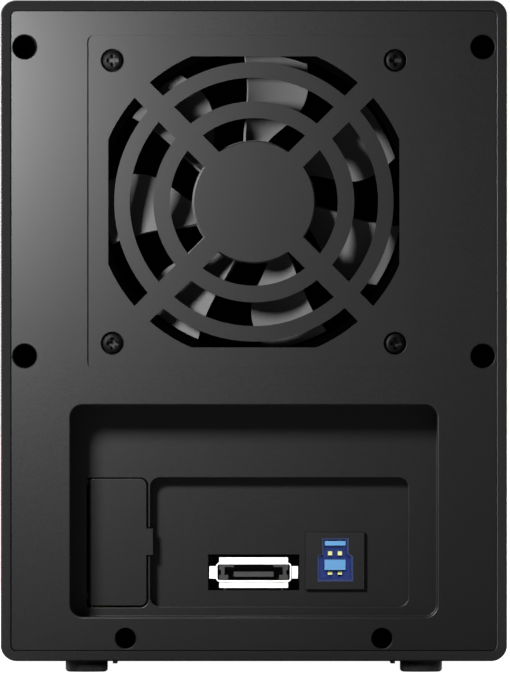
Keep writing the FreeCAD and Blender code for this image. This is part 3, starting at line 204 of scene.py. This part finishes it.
def panel(name, colour, roughness):
    """Finely textured plastic, dull and with painted shade, near black, where it lines the screw wells
    and the fan's duct.
    """
    side_wells_x = 52 * MM  # the wells at the sides lie further out than this
    low_wells_top = 12.5 * MM  # and the wells at the bottom lie below this
    duct_bottom = 72 * MM
    well_mouth_y = panel_y - 0.5 * MM
    grille_back_y = panel_y - 2.55 * MM
    # Painted shade for the wells and the duct, kept as a share of the panel's colour.
    painted_shade_factor = 0.1  # how much of the panel's own colour is left in the lining

    f = Finish(name, colour, roughness, specular=0.25)
    x, y, z = f.along("X"), f.along("Y"), f.along("Z")
    beside = f.maths("GREATER_THAN", f.maths("ABSOLUTE", x), side_wells_x)
    below = f.maths("LESS_THAN", z, low_wells_top)
    near_wells = f.maths("MAXIMUM", beside, below)
    in_well = f.maths("MULTIPLY", near_wells, f.maths("LESS_THAN", y, well_mouth_y))
    above = f.maths("GREATER_THAN", z, duct_bottom)
    in_duct = f.maths("MULTIPLY", above, f.maths("LESS_THAN", y, grille_back_y))
    painted_shade_lining = f.maths("MAXIMUM", in_well, in_duct)

    # Painted shade: the wells and the duct are painted close to black.
    f.paint(f.blend(painted_shade_lining, f.flow_marks(colour), tinted(colour, painted_shade_factor)))
    grain = f.noise(PLASTIC_TEXTURE, detail=2)
    open_roughness = f.around(grain, roughness, less=0.04, more=0.05)
    f.roughen(f.maths("MAXIMUM", open_roughness, painted_shade_lining))
    f.bump(grain, PLASTIC_RELIEF)
    return f


def blacked_screw(name, colour, recess_highlight, roughness):
    """Blackened steel screw with a painted highlight inside its cross recess, in patches."""
    head_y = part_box(name)[1].y
    recess_mouth_y = head_y - 0.1 * MM
    recess_floor_y = head_y - 0.35 * MM

    f = Finish(name, colour, roughness, metallic=1.0)
    recessed = f.span(f.along("Y"), recess_floor_y, recess_mouth_y, to_low=1.0, to_high=0.0)
    cloud = f.noise(0.9 * MM, detail=4)
    highlight_patches = f.span(cloud, low=0.25, to_low=0.55)
    # Painted highlight: the cross recess is painted brighter, in patches.
    f.paint(f.blend(f.maths("MULTIPLY", recessed, highlight_patches), colour, recess_highlight))
    f.roughen(f.around(cloud, roughness, less=0.06, more=0.08))
    f.bump(f.noise(0.15 * MM, detail=3), depth=0.006 * MM)
    return f


def socket_liner(name, colour, painted_bounce_colour):
    """Blue socket plastic, darker at its mouth than down in the socket, where a brighter blue is painted
    as light bounced into it.
    """
    mouth_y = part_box(name)[1].y
    dark_above_y = mouth_y - 0.3 * MM
    light_below_y = mouth_y - 1.2 * MM

    f = Finish(name, colour, 0.5, specular=0.2)
    deep = f.span(f.along("Y"), light_below_y, dark_above_y, to_low=1.0, to_high=0.0)
    cloud = f.noise(1.2 * MM, detail=3)
    # Painted light: deep in the socket the blue is painted brighter, as if lit by bounced light.
    f.paint(f.blend(deep, colour, f.mottled(cloud, painted_bounce_colour, darkest=0.85, lightest=1.0)))
    f.bump(f.noise(PLASTIC_TEXTURE, detail=2), PLASTIC_RELIEF)
    return f


def painted(name, colour, roughness):
    """Satin paint on metal, with a fine orange peel."""
    f = Finish(name, colour, roughness)
    cloud = f.noise(30 * MM, detail=4)
    f.paint(f.mottled(cloud, colour, darkest=0.95, lightest=1.05))
    f.roughen(f.around(cloud, roughness, less=0.01, more=0.015))
    f.bump(f.noise(0.35 * MM, detail=2), depth=0.008 * MM)
    return f


def metal(name, colour, roughness, stretch=(1, 1, 1), spread=0.12, dark=0.75):
    """Bare or plated metal. Its fine grain is drawn out along an axis whose stretch is below 1."""
    f = Finish(name, colour, roughness, metallic=1.0)
    cloud = f.noise(9 * MM, detail=4)
    f.paint(f.mottled(cloud, colour, darkest=dark, lightest=1.0, high=0.75))
    grain = f.noise(0.08 * MM, detail=3, stretch=stretch)
    f.roughen(f.around(grain, roughness, less=spread / 2, more=spread / 2))
    f.bump(grain, depth=0.002 * MM)
    return f


def zinc(name, colour):
    """Zinc-plated sheet: soft spangles under a satin shine."""
    f = Finish(name, colour, 0.36, metallic=1.0)
    spangle = f.cells(5 * MM)
    cloud = f.noise(14 * MM, detail=4)
    spangle_shade = f.span(spangle, low=0.0, high=0.9, to_high=0.6)
    cloud_shade = f.span(cloud, to_high=0.4)
    dark, light = tinted(colour, 0.82), tinted(colour, 1.08)
    f.paint(f.blend(f.maths("ADD", spangle_shade, cloud_shade), dark, light))
    f.roughen(f.span(spangle, low=0.0, high=0.8, to_low=0.30, to_high=0.44))
    f.bump(f.noise(0.6 * MM, detail=3, stretch=(1, 1, 0.1)), depth=0.003 * MM)
    return f


def board(name, colour):
    """Solder mask over copper tracks on fibreglass."""
    f = Finish(name, colour, 0.32)
    tracks = f.add("ShaderNodeTexBrick", offset=0.37, squash=0.6, squash_frequency=3)
    tracks.inputs["Scale"].default_value = 1.0
    tracks.inputs["Mortar Size"].default_value = 0.25 * MM
    tracks.inputs["Brick Width"].default_value = 9 * MM
    tracks.inputs["Row Height"].default_value = 2.2 * MM
    f.link(f.stretched(turn=(QUARTER_TURN, 0, 0)), tracks.inputs["Vector"])
    has_tracks = f.span(f.noise(16 * MM, detail=2), low=0.45, high=0.5)
    copper = f.maths("MULTIPLY", tracks.outputs["Fac"], has_tracks)
    weave = f.mottled(f.noise(0.7 * MM, detail=1), colour, darkest=0.8, lightest=1.0)
    over_copper = tinted(colour, 2.1)
    f.paint(f.blend(copper, weave, over_copper))
    f.bump(copper, depth=0.03 * MM)
    f.set("Coat Weight", 0.4)
    f.set("Coat Roughness", 0.12)
    return f


def rubber(name, colour):
    """Dull rubber with a little dust on it."""
    f = Finish(name, colour, 0.75, specular=0.35)
    dust = f.noise(1.6 * MM, detail=5)
    f.paint(f.mottled(dust, colour, darkest=1.0, lightest=2.2, low=0.45, high=0.75))
    f.bump(f.noise(0.3 * MM, detail=3), depth=0.015 * MM)
    return f


def windings(name, colour):
    """Enamelled copper, ribbed by its turns, with painted shade in the grooves between them."""
    radian = 0.35 * MM  # the way in which the ribs' wave runs through one radian
    radians_per_metre = 20  # of a wave texture whose scale is 1

    f = Finish(name, colour, 0.3, metallic=0.9)
    turns = f.add("ShaderNodeTexWave", wave_type="BANDS", bands_direction="Y")
    turns.inputs["Scale"].default_value = 1 / radian / radians_per_metre
    turns.inputs["Distortion"].default_value = 0.6
    f.link(f.place, turns.inputs["Vector"])
    # Painted shade: the grooves between the turns are painted darker.
    shade_between_turns = tinted(colour, 0.35)
    f.paint(f.blend(turns.outputs["Fac"], shade_between_turns, colour))
    f.bump(turns.outputs["Fac"], depth=0.12 * MM)
    return f


def clear_lamp(name, colour):
    """Frosted light pipe."""
    f = Finish(name, colour, 0.28)
    f.set("Transmission Weight", 0.75)
    f.set("IOR", 1.49)
    f.bump(f.noise(0.2 * MM, detail=2), depth=0.01 * MM)
    return f


def glossy(name, colour):
    """Polished black plastic with faint wipe marks."""
    f = Finish(name, colour, 0.1, specular=0.4)
    wipes = f.noise(6 * MM, detail=5, stretch=(1, 1, 0.2), distortion=0.8)
    f.roughen(f.span(wipes, low=0.4, high=0.75, to_low=0.07, to_high=0.2))
    f.paint(f.mottled(f.noise(30 * MM, detail=3), colour, darkest=0.85, lightest=1.15))
    f.set("Coat Weight", 0.25)
    f.set("Coat Roughness", 0.05)
    return f


def by_name(*finishes):
    """The finishes by the name of the slot or the piece that wears them."""
    return {finish.name: finish for finish in finishes}


slot_finishes = by_name(
    painted("case_finish", (0.030, 0.030, 0.031), 0.42),
    panel("panel_plastic", (0.003, 0.003, 0.003), 0.44),
    moulded("bezel_plastic", (0.021, 0.021, 0.022), 0.5),
    glossy("gloss_black", (0.008, 0.008, 0.009)),
    moulded("button_plastic", (0.038, 0.038, 0.040), 0.36),
    rubber("foot_rubber", (0.055, 0.055, 0.055)),
    metal("black_screws", (0.10, 0.10, 0.105), 0.38),
    zinc("zinc_steel", (0.58, 0.59, 0.60)),
    painted("mesh_steel", (0.017, 0.017, 0.018), 0.42),
    metal("magnet", (0.42, 0.42, 0.43), 0.3),
    metal("bearing_bronze", (0.55, 0.38, 0.20), 0.45, dark=0.6),
    windings("motor_copper", (0.62, 0.26, 0.12)),
    rubber("lead_sleeve", (0.014, 0.014, 0.014)),
    moulded("connector_white", (0.72, 0.69, 0.62), 0.45),
    moulded("connector_black", (0.012, 0.012, 0.012), 0.42),
    moulded("rail_plastic", (0.10, 0.10, 0.104), 0.5),
    board("board_green", (0.008, 0.085, 0.038)),
    board("board_black", (0.010, 0.012, 0.011)),
    moulded("chip_black", (0.022, 0.022, 0.024), 0.55, texture=0.12 * MM),
    metal("heatsink_aluminium", (0.72, 0.72, 0.74), 0.4, stretch=(1, 0.05, 1)),
    metal("capacitor_can", (0.70, 0.70, 0.72), 0.34, stretch=(1, 1, 0.05)),
    metal("brass_plain", (0.78, 0.58, 0.26), 0.3, stretch=(1, 1, 8)),
    metal("bright_metal", (0.90, 0.90, 0.90), 0.3, dark=0.92),
    moulded("tongue_blue", (0.072, 0.185, 0.345), 0.5, specular=0.15),
    metal("contact_gold", (0.82, 0.84, 0.36), 0.5, dark=0.9),
    clear_lamp("lamp_clear", (0.72, 0.74, 0.76)),
)
# Pieces with a finish of their own, whatever their slot.
node_finishes = by_name(
    # Painted shade: the fan's frame and struts and the backplane are painted near black, darker than
    # their plastic, for the shade inside the case.
    moulded("fan_frame", (0.0015, 0.0015, 0.0015), 0.85, specular=0.1),
    moulded("fan_struts", (0.0015, 0.0015, 0.0015), 0.85, specular=0.1),
    moulded("fan_rotor", (0.044, 0.044, 0.044), 0.85, specular=0.1),
    moulded("backplane", (0.003, 0.003, 0.003), 0.8, specular=0.1),
    moulded("usb_housing", (0.004, 0.004, 0.004), 0.46, specular=0.25),
    moulded("esata_insulator", (0.022, 0.022, 0.022), 0.5, specular=0.3),
    metal("esata_shell", (0.96, 0.96, 0.96), 0.62, spread=0.06, dark=0.95),
    socket_liner("usb_insulator", (0.0035, 0.011, 0.05), (0.018, 0.066, 0.44)),
    blacked_screw("fan_screws", (0.0055, 0.0055, 0.006), (0.026, 0.026, 0.027), 0.55),
    # Painted shade: the screws deep in their wells are painted near black.
    blacked_screw("rear_screws", (0.010, 0.010, 0.010), (0.012, 0.012, 0.012), 0.8),
)
for node_name, node in nodes.items():
    for holder in node.material_slots:
        finish = node_finishes.get(node_name) or slot_finishes[holder.material.name]
        holder.material = finish.material


# ---------------------------------------------------------------- stage
FLOOR_REACH = 12.0  # from the middle to each side


def floor():
    """Pale floor under the feet; seen directly, it is as bright as the backdrop."""
    mesh = bmesh.new()
    bmesh.ops.create_grid(mesh, x_segments=1, y_segments=1, size=FLOOR_REACH)
    data = bpy.data.meshes.new("floor")
    mesh.to_mesh(data)
    mesh.free()
    plane = bpy.data.objects.new("floor", data)
    plane.location.z = cad_box[0].z
    bpy.context.collection.objects.link(plane)
    f = Finish("floor", (0.86, 0.86, 0.86), 0.7, specular=0.0)
    f.set("Emission Color", WHITE)
    path = f.add("ShaderNodeLightPath")
    f.link(path.outputs["Is Camera Ray"], f.shader.inputs["Emission Strength"])
    data.materials.append(f.material)


def world(brightness, backdrop):
    """Pale surroundings; the backdrop seen directly is brighter than its light."""
    scene_world = bpy.data.worlds.new("studio")
    scene_world.use_nodes = True
    tree = scene_world.node_tree
    background = tree.nodes["Background"]
    background.inputs["Color"].default_value = WHITE
    path = tree.nodes.new("ShaderNodeLightPath")
    strength = tree.nodes.new("ShaderNodeMapRange")
    strength.inputs["To Min"].default_value = brightness
    strength.inputs["To Max"].default_value = backdrop
    tree.links.new(path.outputs["Is Camera Ray"], strength.inputs["Value"])
    tree.links.new(strength.outputs["Result"], background.inputs["Strength"])
    bpy.context.scene.world = scene_world


def camera():
    """Long lens square to the rear face, framed on the whole case."""
    distance = 5.0
    margin = 0.3 * MM  # of height, above and below the case together
    aside = 0.29 * MM  # from the case's middle to the view's
    lower = 0.1 * MM  # from the case's middle down to the view's
    low, high = cad_box
    frame_height = high.z - low.z + margin
    centre = Vector(((low.x + high.x) / 2 - aside, panel_y, (low.z + high.z) / 2 - lower))
    lens = bpy.data.cameras.new("camera")
    lens.sensor_width = 36.0
    lens.lens = lens.sensor_width * distance / frame_height
    lens.clip_start = 0.1
    lens.clip_end = 60.0
    view = bpy.data.objects.new("camera", lens)
    view.location = centre + Vector((0, distance, 0))
    view.rotation_euler = (QUARTER_TURN, 0, HALF_TURN)
    bpy.context.collection.objects.link(view)
    bpy.context.scene.camera = view


def area_light(name, place, aim, size, power, lit_nodes=()):
    """Softbox at a place, facing another place; it lights everything, or only the nodes named."""
    lamp = bpy.data.lights.new(name, "AREA")
    lamp.shape = "RECTANGLE"
    lamp.size, lamp.size_y = size
    lamp.energy = power
    light = bpy.data.objects.new(name, lamp)
    light.location = place
    direction = Vector(aim) - Vector(place)
    light.rotation_euler = direction.to_track_quat("-Z", "Y").to_euler()
    light.visible_camera = False
    bpy.context.collection.objects.link(light)
    if lit_nodes:
        lit = bpy.data.collections.new(name + "_lit")
        for lit_name in lit_nodes:
            lit.objects.link(nodes[lit_name])
        light.light_linking.receiver_collection = lit


def behind(x, distance, z):
    """A place at this distance behind the rear face."""
    return (x, panel_y + distance, z)


floor()
camera()
world(brightness=0.10, backdrop=1.0)

# A small lamp behind the case, high at one side, draws the shadows of the grille and the recess.
area_light(
    "key",
    place=behind(0.1159, 0.1352, 0.1563),
    aim=behind(0.01, 0, 0.095),
    size=(0.04, 0.04),
    power=1.83,
    lit_nodes=(
        "rear_panel", "port_cover", "fan_rotor", "fan_screws",
        "esata_shell", "esata_insulator",
        "usb_housing", "usb_insulator", "usb_tongues", "usb_contacts",
        "power_inlet", "power_inlet_pin",
    ),
)
# A weak fill shows the inside of the blue socket and the feet.
area_light(
    "port_fill",
    place=behind(-0.02, 0.5, 0.06),
    aim=behind(-0.0205, 0, 0.028),
    size=(0.05, 0.05),
    power=1.0,
    lit_nodes=("usb_insulator", "rubber_feet"),
)
# Two lamps light the case alone: a soft one for its rim and a small one for the rim's edges.
area_light(
    "rim_soft",
    place=behind(0.22, 1.0, 0.12),
    aim=behind(0, 0, 0.08),
    size=(0.35, 0.35),
    power=0.26,
    lit_nodes=("case_sleeve",),
)
area_light(
    "rim_edge",
    place=behind(0.50, 0.085, 0.16),
    aim=behind(0, 0, 0.08),
    size=(0.03, 0.03),
    power=3.0,
    lit_nodes=("case_sleeve",),
)

# Softboxes light the front, the sides and the top.
front_middle = (0, -0.1, 0.085)
area_light("front", place=(-0.75, -1.15, 0.085), aim=front_middle, size=(1.0, 0.16), power=12)
area_light("front_fill", place=(0.95, -0.8, 0.085), aim=front_middle, size=(0.6, 0.16), power=6)
area_light("top", place=(0.1, -0.25, 1.3), aim=(0, 0, 0.1), size=(0.9, 0.6), power=12)
bpy.context.scene.view_settings.view_transform = "Standard"
